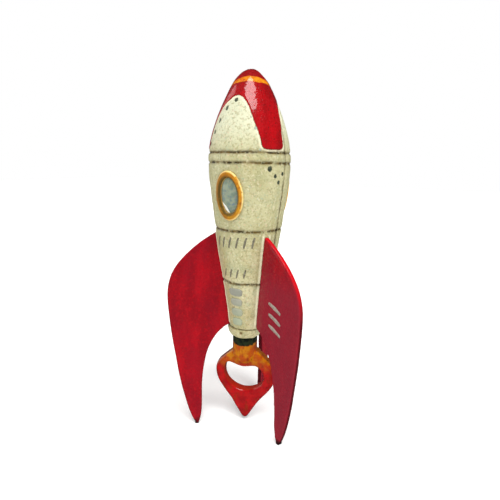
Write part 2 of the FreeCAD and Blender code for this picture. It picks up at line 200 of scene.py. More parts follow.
def natural_spline(knots, values, at):
    """Natural cubic spline through values at knots, evaluated at the places in `at`."""
    step = np.diff(knots)
    count = len(knots)
    system = np.eye(count)
    right = np.zeros(count)
    slope = np.diff(values) / step
    for k in range(1, count - 1):
        system[k, k - 1:k + 2] = (step[k - 1], 2 * (step[k - 1] + step[k]), step[k])
        right[k] = 6 * (slope[k] - slope[k - 1])
    second = np.linalg.solve(system, right)
    k = np.clip(np.searchsorted(knots, at) - 1, 0, count - 2)
    a = (knots[k + 1] - at) / step[k]
    b = 1 - a
    bend = ((a ** 3 - a) * second[k] + (b ** 3 - b) * second[k + 1]) * step[k] ** 2 / 6
    return a * values[k] + b * values[k + 1] + bend


def body_table(count=4000):
    """Distance, height, radius and outward normal, evenly spaced along the body's outline."""
    outline = np.array(BODY_OUTLINE)
    points = np.vstack([outline, outline[-2::-1] * (1, -1)])
    knots = totals(np.linalg.norm(np.diff(points, axis=0), axis=1))
    at = np.linspace(0, knots[len(outline) - 1], count)
    height = natural_spline(knots, points[:, 0], at)
    radius = natural_spline(knots, points[:, 1], at)
    run = totals(np.hypot(np.diff(height), np.diff(radius)))
    even = np.linspace(0, run[-1], count)
    height, radius = np.interp(even, run, height), np.interp(even, run, radius)
    up, out = np.gradient(height, even), np.gradient(radius, even)
    length = np.hypot(up, out)
    return even, height, radius, up / length, -out / length


RUN, RUN_HEIGHT, RUN_RADIUS, RUN_NORMAL_OUT, RUN_NORMAL_UP = body_table()


def run_at(height):
    """How far along the outline a height is."""
    return np.interp(height, RUN_HEIGHT, RUN)


def radius_at(height):
    return np.interp(height, RUN_HEIGHT, RUN_RADIUS)


def height_on(run):
    return np.interp(run, RUN, RUN_HEIGHT)


def radius_on(run):
    return np.interp(run, RUN, RUN_RADIUS)


def on_body(azimuth, run, offset=0.0):
    """Points at azimuths and places along the outline, moved out of the surface."""
    radius = radius_on(run) + offset * np.interp(run, RUN, RUN_NORMAL_OUT)
    height = height_on(run) + offset * np.interp(run, RUN, RUN_NORMAL_UP)
    angle = np.radians(azimuth + BODY_TURN)
    return np.stack([radius * np.sin(angle), -radius * np.cos(angle), height], axis=-1)


def spread(across, height):
    """The angle that a short distance across the body takes up at a height."""
    return np.degrees(across / radius_at(height))


def lumps(points, size, seed=0.0):
    """Smooth noise from -1 to 1 over points, with bumps of about this size."""
    flat = np.asarray(points, float).reshape(-1, 3) / size + seed * 17.31
    values = [noise.noise(p) for p in flat.tolist()]
    return np.array(values).reshape(np.shape(points)[:-1])


def roughness(points, layers):
    """Unevenness made of (height, size, seed) layers of noise."""
    return sum(height * lumps(points, size, seed) for height, size, seed in layers)


def ease(value, low, high):
    share = np.clip((value - low) / (high - low), 0, 1)
    return share * share * (3 - 2 * share)


def bell(distance, width):
    return np.exp(-(distance / width) ** 2)


def wrap(azimuth):
    """An azimuth between -180 and 180."""
    return (np.asarray(azimuth) + 180) % 360 - 180


def once_round(count):
    """Evenly spaced angles, in radians, round a closed ring."""
    return np.linspace(0, 2 * math.pi, count + 1)[:-1]


def fin_axes(azimuth):
    """Unit vectors out along a fin and across it."""
    angle = math.radians(azimuth)
    out = np.array([math.sin(angle), -math.cos(angle), 0.0])
    across = np.array([math.cos(angle), math.sin(angle), 0.0])
    return out, across


# ---- making meshes ----

def link_object(name, data):
    made = bpy.data.objects.new(name, data)
    bpy.context.scene.collection.objects.link(made)
    return made


def store(piece, **stored):
    """Numbers on each point of a piece, for the shaders."""
    for key, values in stored.items():
        layer = piece.data.attributes.new(key, "FLOAT", "POINT")
        layer.data.foreach_set("value", np.asarray(values, np.float32).ravel())


def cover(mesh, material):
    mesh.materials.clear()
    mesh.materials.append(material)
    mesh.polygons.foreach_set("use_smooth", [True] * len(mesh.polygons))


def make_piece(name, points, faces, material, **stored):
    """An object from millimetre points, with numbers stored on them.  The faces may be a
    function that makes them from the number of rows and columns."""
    if callable(faces):
        faces = faces(*np.shape(points)[:2])
    mesh = bpy.data.meshes.new(name)
    mesh.from_pydata((np.asarray(points).reshape(-1, 3) * MM).tolist(), [], faces)
    mesh.validate()
    cover(mesh, material)
    piece = link_object(name, mesh)
    store(piece, **stored)
    return piece


def grid_faces(rows, columns, wrap_rows=False, wrap_columns=False, keep=None):
    """Quads of a grid whose point (row, column) is number row * columns + column."""
    faces = []
    for i in range(rows if wrap_rows else rows - 1):
        this, above = i * columns, (i + 1) % rows * columns
        for j in range(columns if wrap_columns else columns - 1):
            if keep is None or keep[i, j]:
                b = (j + 1) % columns
                faces.append((this + j, this + b, above + b, above + j))
    return faces


def stack_faces(rows, columns):
    """Faces of a stack of closed rings, with a lid at each end."""
    faces = grid_faces(rows, columns, wrap_columns=True)
    faces.append(tuple(range(columns))[::-1])
    faces.append(tuple((rows - 1) * columns + k for k in range(columns)))
    return faces


def strip_faces(rows, columns):
    """Faces of a long closed strip with `rows` points round it."""
    faces = grid_faces(rows, columns, wrap_rows=True)
    faces.append(tuple(i * columns for i in range(rows)))
    faces.append(tuple(i * columns + columns - 1 for i in range(rows))[::-1])
    return faces


def modify(piece, *steps):
    """Runs (kind, settings) modifiers over a piece and keeps the mesh they make."""
    for kind, settings in steps:
        step = piece.modifiers.new(kind, kind)
        for key, value in settings.items():
            setattr(step, key, value)
    graph = bpy.context.evaluated_depsgraph_get()
    graph.update()
    mesh = bpy.data.meshes.new_from_object(piece.evaluated_get(graph))
    piece.modifiers.clear()
    piece.data = mesh


def thicken(piece, depth):
    """Closes a surface into a wall that goes inwards from it."""
    modify(piece, ("SOLIDIFY", {"thickness": depth * MM, "offset": -1}))


def face_outwards(piece):
    """Turns the faces of a closed piece so that they all look out of it."""
    shape = bmesh.new()
    shape.from_mesh(piece.data)
    bmesh.ops.recalc_face_normals(shape, faces=shape.faces)
    shape.to_mesh(piece.data)
    shape.free()


def finish(piece, slot, *nodes):
    face_outwards(piece)
    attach(piece, "root")
    if nodes:
        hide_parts(*nodes)


# ---- shader building ----

def fill(tree, node, inputs):
    """Links or sets a node's inputs."""
    for key, value in inputs.items():
        if isinstance(value, bpy.types.NodeSocket):
            tree.links.new(value, node.inputs[key])
        else:
            node.inputs[key].default_value = value


def add_node(tree, kind, inputs, output=0, **settings):
    """Makes a shader node and gives one of its outputs."""
    node = tree.nodes.new("ShaderNode" + kind)
    for key, value in settings.items():
        setattr(node, key, value)
    fill(tree, node, inputs)
    return node.outputs[output]


class Paint:
    """One procedural material, built up node by node."""

    def __init__(self, name):
        self.material = bpy.data.materials.new(name)
        self.material.use_nodes = True
        self.tree = self.material.node_tree
        self.coordinates = self.node("TexCoord", {}, "Object")

    def node(self, kind, inputs, output=0, **settings):
        return add_node(self.tree, kind, inputs, output, **settings)

    def noise(self, size, detail=3.0, upright=1.0, shift=0.0):
        """Noise from 0 to 1 with features of this size, drawn out upwards by 1 / upright."""
        scale = [s / (size * MM) for s in (1, 1, upright)]
        place = (shift, shift * 0.7, shift * 1.3)
        inputs = {"Vector": self.coordinates, "Scale": scale, "Location": place}
        inputs = {"Vector": self.node("Mapping", inputs), "Scale": 1.0, "Detail": detail}
        return self.node("TexNoise", inputs)

    def attribute(self, name):
        return self.node("Attribute", {}, "Fac", attribute_name=name)

    def height(self):
        """Height above the floor in metres."""
        return self.node("SeparateXYZ", {"Vector": self.coordinates}, "Z")

    def math(self, operation, *values):
        return self.node("Math", dict(enumerate(values)), operation=operation)

    def scaled(self, value, scale, base):
        """value * scale + base"""
        return self.math("MULTIPLY_ADD", value, scale, base)

    def between(self, value, low, high):
        """0 below low, 1 above high, smooth in between; high may be the smaller one."""
        inputs = {"Value": value, "From Min": low, "From Max": high}
        return self.node("MapRange", inputs, interpolation_type="SMOOTHSTEP")

    def patch(self, size, low, high, strength=1.0, shift=0.0, detail=4.0, upright=1.0):
        """Soft patches: 0 where noise is under low, up to strength where over high."""
        spot = self.between(self.noise(size, detail, upright, shift), low, high)
        return self.math("MULTIPLY", spot, strength)

    def ragged(self, value, texture, depth, base=0.0):
        """A value whose level lines wander by noise."""
        return self.math("ADD", value, self.scaled(texture, depth, base))

    def broken(self, name, texture, low, high):
        """A number stored on the points, broken up by noise."""
        return self.math("MULTIPLY", self.attribute(name), self.between(texture, low, high))

    def mix(self, share, a, b):
        return self.node("Mix", {"Factor": share, 6: a, 7: b}, 2, data_type="RGBA")

    def over(self, base, share, colour):
        """A colour of screen values laid over a base."""
        return self.mix(share, base, linear(*colour))

    def spots(self, base, colour, *patch, **more):
        """Soft patches of a colour over a base."""
        return self.over(base, self.patch(*patch, **more), colour)

    def two_tone(self, first, second, *patch, **more):
        return self.spots(linear(*first), second, *patch, **more)

    def finish(self, base, rough, gloss, *bumps, **more):
        """Colour, roughness, (specular, coat, its roughness), and relief from (noise size,
        noise detail, depth) layers."""
        inputs = {"Base Color": base, "Roughness": rough}
        inputs.update(zip(("Specular IOR Level", "Coat Weight", "Coat Roughness"), gloss))
        normal = {}
        for size, detail, depth in bumps:
            layer = {"Distance": depth * MM, "Height": self.noise(size, detail)}
            normal = {"Normal": self.node("Bump", {**layer, **normal})}
        fill(self.tree, self.tree.nodes["Principled BSDF"], {**inputs, **normal, **more})
        return self.material


IVORY_SPOTS = (            # colour, size, from, to, strength, shift
    ((232, 224, 190), 1.5, 0.54, 0.68, 0.45, 17),
    ((214, 166, 140), 1.2, 0.6, 0.68, 0.4, 37),
    ((150, 178, 160), 1.2, 0.6, 0.68, 0.4, 41),
    ((154, 146, 98), 1.3, 0.5, 0.66, 0.55, 23),
    ((98, 92, 60), 0.9, 0.64, 0.71, 0.55, 29),
)
IVORY_LEVELS = (           # colour, from, to, strength
    ((178, 176, 130), 100, 135, 0.45),
    # painted highlight: paler towards the arches, where the shoulder turns up to the light
    ((224, 226, 196), 178, 200, 0.8),
)


def ivory_paint():
    """Cream paint, greyer in the middle, paler on the arches as a painted highlight, with patina
    and painted shade in the relief and a painted highlight along raised edges.
    """
    paint = Paint("ivory_paint")
    base = paint.two_tone((188, 182, 132), (214, 208, 164), 13, 0.38, 0.62, upright=0.45)
    base = paint.spots(base, (172, 180, 142), 6, 0.5, 0.68, 0.5, 5)
    base = paint.spots(base, (196, 172, 118), 7, 0.52, 0.68, 0.45, 11, upright=0.35)
    for colour, low, high, strength in IVORY_LEVELS:
        share = paint.between(paint.height(), low * MM, high * MM)
        base = paint.over(base, paint.math("MULTIPLY", share, strength), colour)
    for colour, *patch in IVORY_SPOTS:
        base = paint.spots(base, colour, *patch)
    # painted highlight: a pale band beside the cap's edge and along the fin roots
    base = paint.over(base, paint.attribute("rim"), (242, 236, 202))
    # brown patina in the grooves and seam, and painted shade at the fin roots, round the porthole
    # rings, along the cap's edge and under the collar
    dirt = paint.broken("grime", paint.noise(1.8, 4, shift=3), 0.25, 0.5)
    brown = paint.two_tone((112, 88, 34), (66, 54, 26), 3, 0.4, 0.6, shift=43)
    rough = paint.scaled(paint.noise(3), 0.3, 0.4)
    return paint.finish(paint.mix(dirt, base, brown), rough, (0.3, 0.1, 0.3),
                        (4.0, 2, 0.5), (1.3, 4, 0.45), (0.55, 2, 0.12))


def red_base(paint, dark, light):
    base = paint.two_tone(dark, light, 9, 0.35, 0.65, upright=0.3)
    base = paint.spots(base, (190, 2, 20), 1.8, 0.5, 0.68, 0.4, 13)
    return paint.spots(base, (96, 0, 12), 1.3, 0.54, 0.74, 0.4, 7, 5)


def enamel(paint, base, coat, coat_roughness, *bumps):
    """The finish that all the red enamel shares."""
    rough = paint.scaled(paint.noise(5, shift=2), 0.16, 0.34)
    return paint.finish(base, rough, (0.1, coat, coat_roughness), *bumps)


def nose_paint():
    paint = Paint("nose_paint")
    base = red_base(paint, (150, 0, 6), (178, 0, 10))
    inside = paint.ragged(paint.attribute("stripe"), paint.noise(5, shift=4), 1.4, -0.7)
    orange = paint.two_tone((214, 92, 4), (236, 150, 12), 3.5, 0.35, 0.65)
    base = paint.mix(paint.between(inside, -0.3, 0.3), base, orange)
    base = paint.spots(base, (62, 20, 14), 1.1, 0.62, 0.7, 0.75, 31)
    return enamel(paint, base, 1.0, 0.12, (3.4, 2, 0.5), (1.1, 3, 0.6), (0.5, 2, 0.22))


def fin_paint():
    """Red enamel with a painted mauve reflection low on a fin, painted shade on its edges, a
    painted highlight on its leading edge, and black on its feet.
    """
    paint = Paint("fin_paint")
    base = red_base(paint, (142, 0, 18), (166, 0, 20))
    base = paint.spots(base, (128, 4, 26), 12, 0.45, 0.65, 0.45, 19, upright=0.35)
    # painted reflection: mauve on the lower fin
    base = paint.over(base, paint.attribute("bloom"), (138, 36, 52))
    # painted shade on the rounded edges
    base = paint.over(base, paint.broken("edge", paint.noise(2, 4), 0.1, 0.45), (88, 6, 20))
    # painted highlight on the upper leading edge
    base = paint.over(base, paint.attribute("lead"), (214, 14, 26))
    foot = paint.ragged(paint.height(), paint.noise(3, shift=9), 7 * MM)
    base = paint.over(base, paint.between(foot, 8.5 * MM, 4.0 * MM), (34, 14, 14))
    return enamel(paint, base, 0.25, 0.14, (11.0, 2, 0.7), (1.6, 4, 0.36))


def flame_paint():
    """Red running up into orange, with a black neck, a dark tip and painted shade on the outer
    edges.
    """
    paint = Paint("flame_paint")
    red = paint.two_tone((150, 0, 10), (184, 6, 10), 6, 0.35, 0.65)
    orange = paint.two_tone((178, 74, 0), (194, 118, 0), 4, 0.38, 0.62, shift=6)
    height = paint.ragged(paint.height(), paint.noise(7, upright=0.5), 11 * MM)
    base = paint.mix(paint.between(height, 44.5 * MM, 54 * MM), red, orange)
    base = paint.spots(base, (132, 40, 0), 2.4, 0.55, 0.7, 0.6, 14, upright=0.3)
    # painted shade on the walls turned from the front
    base = paint.over(base, paint.attribute("edge"), (92, 14, 8))
    base = paint.over(base, paint.attribute("mouth"), (168, 44, 8))
    neck = paint.ragged(paint.attribute("neck"), paint.noise(2.4, 4, shift=8), 3.6, -1.8)
    black = paint.two_tone((20, 28, 18), (40, 50, 26), 3, 0.4, 0.6)
    base = paint.mix(paint.between(neck, -0.35, 0.35), base, black)
    tip = paint.ragged(paint.height(), paint.noise(2.5, shift=3), 6 * MM)
    base = paint.over(base, paint.between(tip, 8 * MM, 5 * MM), (52, 8, 10))
    return enamel(paint, base, 1.0, 0.1, (5.0, 2, 0.45), (1.6, 3, 0.14))


def ochre_paint():
    paint = Paint("ochre_paint")
    base = paint.two_tone((192, 118, 0), (214, 148, 2), 3, 0.35, 0.65)
    base = paint.spots(base, (128, 66, 4), 1.8, 0.56, 0.7, 0.6, 12)
    # painted shade inside the ring, then a painted highlight on its rim
    base = paint.over(base, paint.broken("inner", paint.noise(2), 0.05, 0.45), (98, 74, 16))
    rim = paint.broken("rim", paint.noise(2.5, shift=5), 0.25, 0.5)
    rough = paint.scaled(paint.noise(2), 0.15, 0.34)
    return paint.finish(paint.over(base, rim, (250, 228, 150)), rough, (0.25, 0.25, 0.2),
                        (1.4, 3, 0.2))


def glass_paint():
    paint = Paint("porthole_glass")
    base = paint.two_tone((118, 136, 120), (150, 162, 138), 3, 0.35, 0.65)
    base = paint.spots(base, (98, 122, 138), 1.6, 0.52, 0.68, 0.7, 9)
    base = paint.spots(base, (160, 148, 132), 1.3, 0.55, 0.68, 0.5, 15)
    base = paint.over(base, paint.attribute("shade"), (66, 80, 66))
    return paint.finish(base, 0.3, (0.4, 0.5, 0.12), (1.8, 3, 0.12))


def flat_paint(name, dark, light, roughness):
    """A plain coat for small painted marks, with brush and cast texture in it."""
    paint = Paint(name)
    base = paint.two_tone(dark, light, 1.5, 0.3, 0.7)
    return paint.finish(base, roughness, (0.4, 0.1, 0.3), (1.0, 4, 0.12))


def window_paint():
    """Grey enamel that is worn thinner from window to window, down the tail."""
    paint = Paint("window_grey")
    upper = paint.two_tone((146, 148, 134), (160, 160, 146), 6, 0.3, 0.7)
    lower = paint.two_tone((162, 172, 146), (176, 184, 152), 6, 0.3, 0.7)
    base = paint.mix(paint.between(paint.height(), 74 * MM, 97 * MM), lower, upper)
    rough = paint.scaled(paint.noise(2), 0.2, 0.35)
    return paint.finish(base, rough, (0.2, 0.0, 0.1), (0.9, 4, 0.12))


def steel_finish():
    paint = Paint("bare_steel")
    base = paint.over(linear(120, 116, 108), paint.noise(2, 4), (170, 168, 164))
    rough = paint.between(paint.noise(1.5, 4), -0.6, 1.6)
    return paint.finish(base, rough, (), (0.8, 4, 0.05), Metallic=1.0)


# ---- nose cap ----

def arch_corner(side):
    """The petal's rounded corner beside an arch."""
    across, height = side[-1]
    corner = PETAL_CORNER * math.sqrt(1 - (across / float(radius_at(height))) ** 2)
    return [(across + 0.35 * corner, height + 0.72 * (CAP_BOTTOM - height)),
            (across + corner, CAP_BOTTOM)]


def panel_edge(azimuth, left_width, right_width):
    """The cap's edge round one panel, from left to right: azimuths and heights."""
    full = [(across * left_width, height) for across, height in ARCH_FULL]
    slim = [(across * right_width, height) for across, height in ARCH_SLIM]
    left = [(-across, height) for across, height in reversed(full + arch_corner(full))]
    outline = np.array(left + [(0.0, ARCH_TOP)] + slim + arch_corner(slim))
    knots = totals(np.linalg.norm(np.diff(outline, axis=0), axis=1))
    at = np.linspace(0, knots[-1], 400)
    across = natural_spline(knots, outline[:, 0], at)
    height = natural_spline(knots, outline[:, 1], at)
    around = azimuth + np.degrees(np.arcsin(across / radius_at(height)))
    return np.maximum.accumulate(around), np.maximum(height, CAP_BOTTOM)


def whole_edge():
    """The cap's scalloped lower edge, once round: azimuths from -180 to 180 and heights."""
    around, height = zip(*(panel_edge(*panel) for panel in sorted(PANELS)))
    return (np.concatenate([[-180.0], *around, [180.0]]),
            np.concatenate([[CAP_BOTTOM], *height, [CAP_BOTTOM]]))


EDGE_AZIMUTH, EDGE_HEIGHT = whole_edge()


def cap_edge(azimuth):
    """Height of the cap's lower edge at an azimuth from the body's front."""
    return np.interp(wrap(azimuth), EDGE_AZIMUTH, EDGE_HEIGHT)


def edge_columns():
    """Azimuths of the cap's columns, evenly spaced along its scalloped edge."""
    out = np.radians(np.diff(EDGE_AZIMUTH)) * radius_at(EDGE_HEIGHT[1:])
    length = totals(np.hypot(out, np.diff(EDGE_HEIGHT)))
    count = int(length[-1] / CELL)
    return np.interp(np.linspace(0, length[-1], count + 1)[:-1], length, EDGE_AZIMUTH)


def distance_to_edge(azimuth, run, edge_azimuth):
    """How far points are from the cap's edge, along the surface."""
    far = np.full(azimuth.shape, 1e9)
    radius = radius_on(run)
    for a, r in zip(edge_azimuth, run_at(cap_edge(edge_azimuth))):
        across = np.radians(wrap(azimuth - a)) * radius
        far = np.minimum(far, np.hypot(across, run - r))
    return far


def stripe_depth(azimuth, height):
    """How far inside the nose's orange stripe a point is; negative outside."""
    side = np.clip(np.cos(np.radians(azimuth - STRIPE_SIDE)), 0, 1)
    middle = STRIPE_HEIGHT + STRIPE_RISE * side
    return (STRIPE_WIDTH + STRIPE_WIDENING * side) / 2 - np.abs(height - middle)


def nose_cap(paint):
    """The red cap, in rings from its scalloped edge to its tip."""
    azimuth = edge_columns()
    start = run_at(cap_edge(azimuth))
    share = np.concatenate([np.linspace(0, 0.03, 5)[:-1], np.linspace(0.03, 1, 96)[:-1]])
    run = start[None, :] + share[:, None] * (RUN[-1] - CAP_STOP - start[None, :])
    around = np.broadcast_to(azimuth[None, :], run.shape)
    inside = distance_to_edge(around, run, azimuth)
    flat, height = on_body(around, run), height_on(run)
    offset = CAP_PROUD * (1 - np.clip(1 - inside / CAP_ROUNDING, 0, 1) ** 2)
    offset += roughness(flat, CAP_ROUGH)
    from_front = np.abs(wrap(around - SEAM_AT))
    back = ease(from_front, 89.2, 90.8)
    seam = np.radians(from_front - 90) * radius_on(run)
    clear = ease(inside, 0.0, 2.0)
    offset += (0.6 * BACK_STEP * back + 0.2 * bell(seam, 0.45)) * clear
    offset -= 0.3 * back * ease(height, *TIP_DROP)
    crease = np.abs(height - CREASE_HEIGHT - 0.3 * lumps(flat, 6, 8))
    on_petal = np.cos(np.radians(around - CREASE_AZIMUTH)) > 0.9
    offset += 0.28 * bell(crease, 0.3) * on_petal
    rows, columns = run.shape
    tip = on_body(0, RUN[-1], CAP_PROUD)
    points = np.vstack([on_body(around, run, offset).reshape(-1, 3), tip[None, :]])
    last = (rows - 1) * columns
    faces = grid_faces(rows, columns, wrap_columns=True)
    faces += [(last + j, last + (j + 1) % columns, rows * columns) for j in range(columns)]
    stripe = np.append(stripe_depth(around, height), -9.0)
    piece = make_piece("nose_cap_casting", points, faces, paint, stripe=stripe)
    thicken(piece, CAP_WALL)
    finish(piece, "red_paint", "nose_cap")


# ---- body halves ----

def oval_distance(azimuth, height, port, half):
    """Under 1 inside an oval of these half sizes round a porthole's middle."""
    across = radius_at(PORT_HEIGHT) * np.sin(np.radians(wrap(azimuth - port)))
    across = np.where(np.abs(wrap(azimuth - port)) > 70, 1e3, across)
    return np.hypot(across / half[0], (height - PORT_HEIGHT) / half[1])


def lean(height):
    """How far aside a leaning fin's middle plane is."""
    return (FIN_LEAN_HEIGHT - height) * math.tan(math.radians(FIN_LEAN))


def fin_side(azimuth, height, fin):
    """Sideways distance from a fin's middle plane, large on the far side of the body."""
    turn = np.radians(wrap(azimuth + BODY_TURN - fin))
    side = np.abs(np.sin(turn) * radius_at(height) - lean(height))
    return np.where(np.cos(turn) < 0.2, 1e3, side)


def distance_under_cap(azimuth, run):
    """Distance to the cap's edge, worked out only near the nose."""
    far = np.full(azimuth.shape, 9.0)
    near = height_on(run) > CAP_BOTTOM - 4
    far[near] = distance_to_edge(azimuth[near], run[near], edge_columns()[::2])
    return far


def groove_relief(height, flat, uneven, fine):
    """Offset and dirt of the wandering grooves round the body."""
    offset, grime = 0.0, 0.0
    drift = 0.35 * lumps(flat, 9, 7) + 0.18 * fine
    for level in GROOVES:
        aside = height - level - drift
        width = GROOVE_WIDTH * (1 + 0.4 * fine)
        offset -= GROOVE_DEPTH * (0.85 + 0.6 * uneven) * bell(aside, width)
        grime += (0.95 + 0.7 * uneven) * bell(aside, GROOVE_WIDTH * 1.15)
        grime += 0.16 * bell(aside, 2.0)
    return offset, grime


def seam_relief(azimuth, radius, flat, uneven, fine):
    """Offset and dirt of the seam and the finer line beside it."""
    from_front = np.abs(wrap(azimuth - SEAM_AT))
    seam = np.radians(90 - from_front) * radius - 0.25 * lumps(flat, 7, 10)
    offset = -SEAM_DEPTH * (0.8 + 0.5 * uneven) * bell(seam, SEAM_WIDTH)
    offset -= 0.22 * (1 + uneven) * bell(seam - SECOND_SEAM, 0.4)
    offset += BACK_STEP * (from_front > 90)
    grime = 0.7 * (0.8 + 0.9 * uneven) * bell(seam, 0.7)
    grime += 0.2 * (1 + 1.5 * fine) * bell(seam - SECOND_SEAM, 0.35)
    return offset, grime


def fin_relief(azimuth, height, uneven):
    """Offset of the beads along the fin roots, painted shade in the corner beside them, and a
    painted highlight along them.
    """
    offset, grime, pale = 0.0, 0.0, 0.0
    low, high = FIN_ROOT
    along = ease(height, low, low + 2) * ease(-height, -high - 2, -high)
    for fin in FIN_AZIMUTHS.values():
        beside = fin_side(azimuth, height, fin) - FIN_HALF_THICKNESS
        bead = along * bell(beside - 0.5, BEAD_WIDTH)
        offset += BEAD_HEIGHT * bead * (1 + 0.3 * uneven)
        # painted shade in the corner beside each fin root
        grime += 0.2 * along * bell(beside - 1.9, 0.5) * (1 + 1.4 * uneven)
        # painted highlight along the bead
        pale += 0.8 * along * bell(beside - 0.6, 0.8)
    return offset, grime, pale


def body_relief(azimuth, run, flat):
    """Offset of the cast surface, the patina in its grooves and seam with painted shade in its
    corners, and the painted highlight at its edges.
    """
    height, radius = height_on(run), radius_on(run)
    uneven, fine = lumps(flat, 5, 6), lumps(flat, 1.6, 9)
    groove, groove_grime = groove_relief(height, flat, uneven, fine)
    seam, seam_grime = seam_relief(azimuth, radius, flat, uneven, fine)
    bead, bead_grime, pale = fin_relief(azimuth, height, uneven)
    belt = ease(height, BELT_LOW, BELT_LOW + 0.6)
    belt = belt * ease(-height, -BELT_HIGH, -BELT_HIGH + 0.6)
    offset = roughness(flat, BODY_ROUGH) + groove + 0.16 * belt * (1 + uneven) + seam + bead
    grime = groove_grime + seam_grime + bead_grime
    for port in PORT_AZIMUTHS.values():
        beside = oval_distance(azimuth, height, port, PORT_HALF)
        # painted shade round the foot of each porthole ring
        grime += 0.22 * bell((beside - 1.0) * 9, 1.1) * (1 + uneven)
    for vent, level, size in VENT_DIMPLES:
        away = np.hypot(radius * np.radians(wrap(azimuth - vent)), height - level)
        offset -= 0.1 * bell(away, size * 0.8)
    outside = height <= cap_edge(azimuth)
    to_cap = distance_under_cap(azimuth, run)
    under_cap = offset - (CAP_THICKNESS + 0.1) * ease(to_cap, 0.25, 0.7)
    offset = np.where(outside, offset, under_cap)
    # painted highlight: a pale band beside the cap's edge, added to the one along the fin roots
    rim = pale + 0.9 * bell(to_cap - 0.8, 0.6) * outside * np.clip(1 + uneven, 0, 1.2)
    # painted shadow along the step of the cap's edge
    grime += 0.35 * bell(to_cap, 0.35) * outside * (1 + uneven)
    spigot = height < COLLAR_TOP + 0.1
    offset = np.where(spigot, SPIGOT_RADIUS - 0.1 - radius, offset)
    # painted shade where the tail runs into the collar
    grime = np.where(spigot, 0.9, grime)
    return offset, np.clip(grime, 0, 1), np.clip(rim, 0, 1)


def body_half(name, node, middle, paint):
    """Half of the hollow body, with the porthole holes left out."""
    start, stop = run_at(COLLAR_TOP - 3.0), run_at(BODY_TOP)
    rows = int((stop - start) / CELL)
    columns = int(math.pi * 22 / CELL)
    run = np.linspace(start, stop, rows)
    azimuth = np.linspace(middle - 89.9, middle + 89.9, columns) + SEAM_AT
    run, azimuth = np.meshgrid(run, azimuth, indexing="ij")
    offset, grime, rim = body_relief(azimuth, run, on_body(azimuth, run))
    points = on_body(azimuth, run, offset)
    points[points[..., 2] < COLLAR_TOP] += TAIL_SHIFT
    keep = np.ones((rows - 1, columns - 1), bool)
    for port in PORT_AZIMUTHS.values():
        hole = oval_distance(azimuth, height_on(run), port, PORT_HALF - 0.8) < 1
        keep &= ~hole[:-1, :-1]
    faces = grid_faces(rows, columns, keep=keep)
    piece = make_piece(name, points, faces, paint, grime=grime, rim=rim)
    thicken(piece, BODY_WALL)
    finish(piece, "ivory_paint", node)


def tail_collar(paint):
    """The rounded, off-centre band at the end of the tail, with an uneven lip and a pin."""
    top, bottom, middle = COLLAR_TOP, COLLAR_BOTTOM, (COLLAR_TOP + COLLAR_BOTTOM) / 2
    rim, lip = float(radius_at(top)), SPIGOT_RADIUS + TAIL_OFFSET + 0.5
    bore = SPIGOT_RADIUS + 0.05
    profile = [
        (bore, top - 0.3), (rim - 0.9, top - 0.1), (rim - 0.2, top - 0.4), (rim + 0.2, top - 1.1),
        (rim + 0.15, top - 2.2), (rim - 0.3, middle - 1.2), ((rim + lip) / 2 - 0.1, bottom + 1.3),
        (lip, bottom + 0.4), (lip - 0.5, bottom + 0.1), (bore, bottom + 0.4),
    ]
    closed = np.array(profile + profile[:1])
    at = np.linspace(0, len(profile), 61)[:-1]
    knots = np.arange(len(closed))
    turn = once_round(180)
    radius, height = (np.repeat(np.interp(at, knots, column)[:, None], len(turn), axis=1)
                      for column in closed.T)

    def ring_points():
        return np.stack([radius * np.cos(turn), radius * np.sin(turn), height], axis=-1)

    flat = ring_points()
    low = ease(-height, -middle, -bottom)
    outer = ease(radius, SPIGOT_RADIUS + 0.3, SPIGOT_RADIUS + 1.0)
    from_pin = np.radians(wrap(np.degrees(turn) - OPENER_TURN + 90))
    pin = np.hypot(radius * from_pin, height - PIN_HEIGHT)
    radius = radius + outer * (roughness(flat, COLLAR_ROUGH) - 0.25 * bell(pin, 0.7))
    height = np.maximum(height + 0.7 * low * lumps(flat, 4, 3), bottom)
    grime = 0.75 * bell(height - top, 0.8) + 1.4 * bell(pin, 0.9)
    grime += 0.35 * low * bell(height - bottom, 0.6)
    faces = grid_faces(len(at), len(turn), wrap_rows=True, wrap_columns=True)
    piece = make_piece("tail_collar_casting", ring_points() + TAIL_SHIFT, faces, paint,
                       grime=np.clip(grime, 0, 1), rim=np.zeros_like(grime))
    modify(piece, ("SMOOTH", {"iterations": 1}))
    finish(piece, "ivory_paint", "tail_collar")


# ---- portholes ----

def on_port(port, across, height, offset):
    """Points near a porthole: sideways from its middle, height, offset."""
    run = run_at(height)
    azimuth = np.degrees(np.arcsin(np.clip(across / radius_on(run), -1, 1)))
    return on_body(azimuth + port, run, offset)


def port_oval(port, half, turn, offset):
    """Points of an oval of these half sizes round a porthole's middle."""
    return on_port(port, half[0] * np.sin(turn), PORT_HEIGHT + half[1] * np.cos(turn), offset)


def dome(reach):
    """How far out the pane is at a share of its half size."""
    return -GLASS_SUNK + GLASS_DOME * (1 - reach ** 2)


RING_PROFILE = (           # share of the ring's width, offset, painted shade, painted highlight on the rim
    (1.00, -0.8, 0, 0), (1.00, 0.25, 0, 1), (0.98, 0.8, 0, 1), (0.88, 1.2, 0, 0.8),
    (0.74, 1.3, 0, 0), (0.45, 1.28, 0, 0), (0.26, 1.15, 0.5, 0), (0.1, 0.75, 1, 0),
    (0.0, 0.2, 1, 0), (0.0, -0.3, 0, 0.7), (0.0, -1.6, 1, 0), (0.35, -2.2, 1, 0),
    (0.75, -2.2, 1, 0),
)
RING_BACK = -2.0           # deeper than this the ring is a narrow flange
FLANGE_WIDTH = 2.0


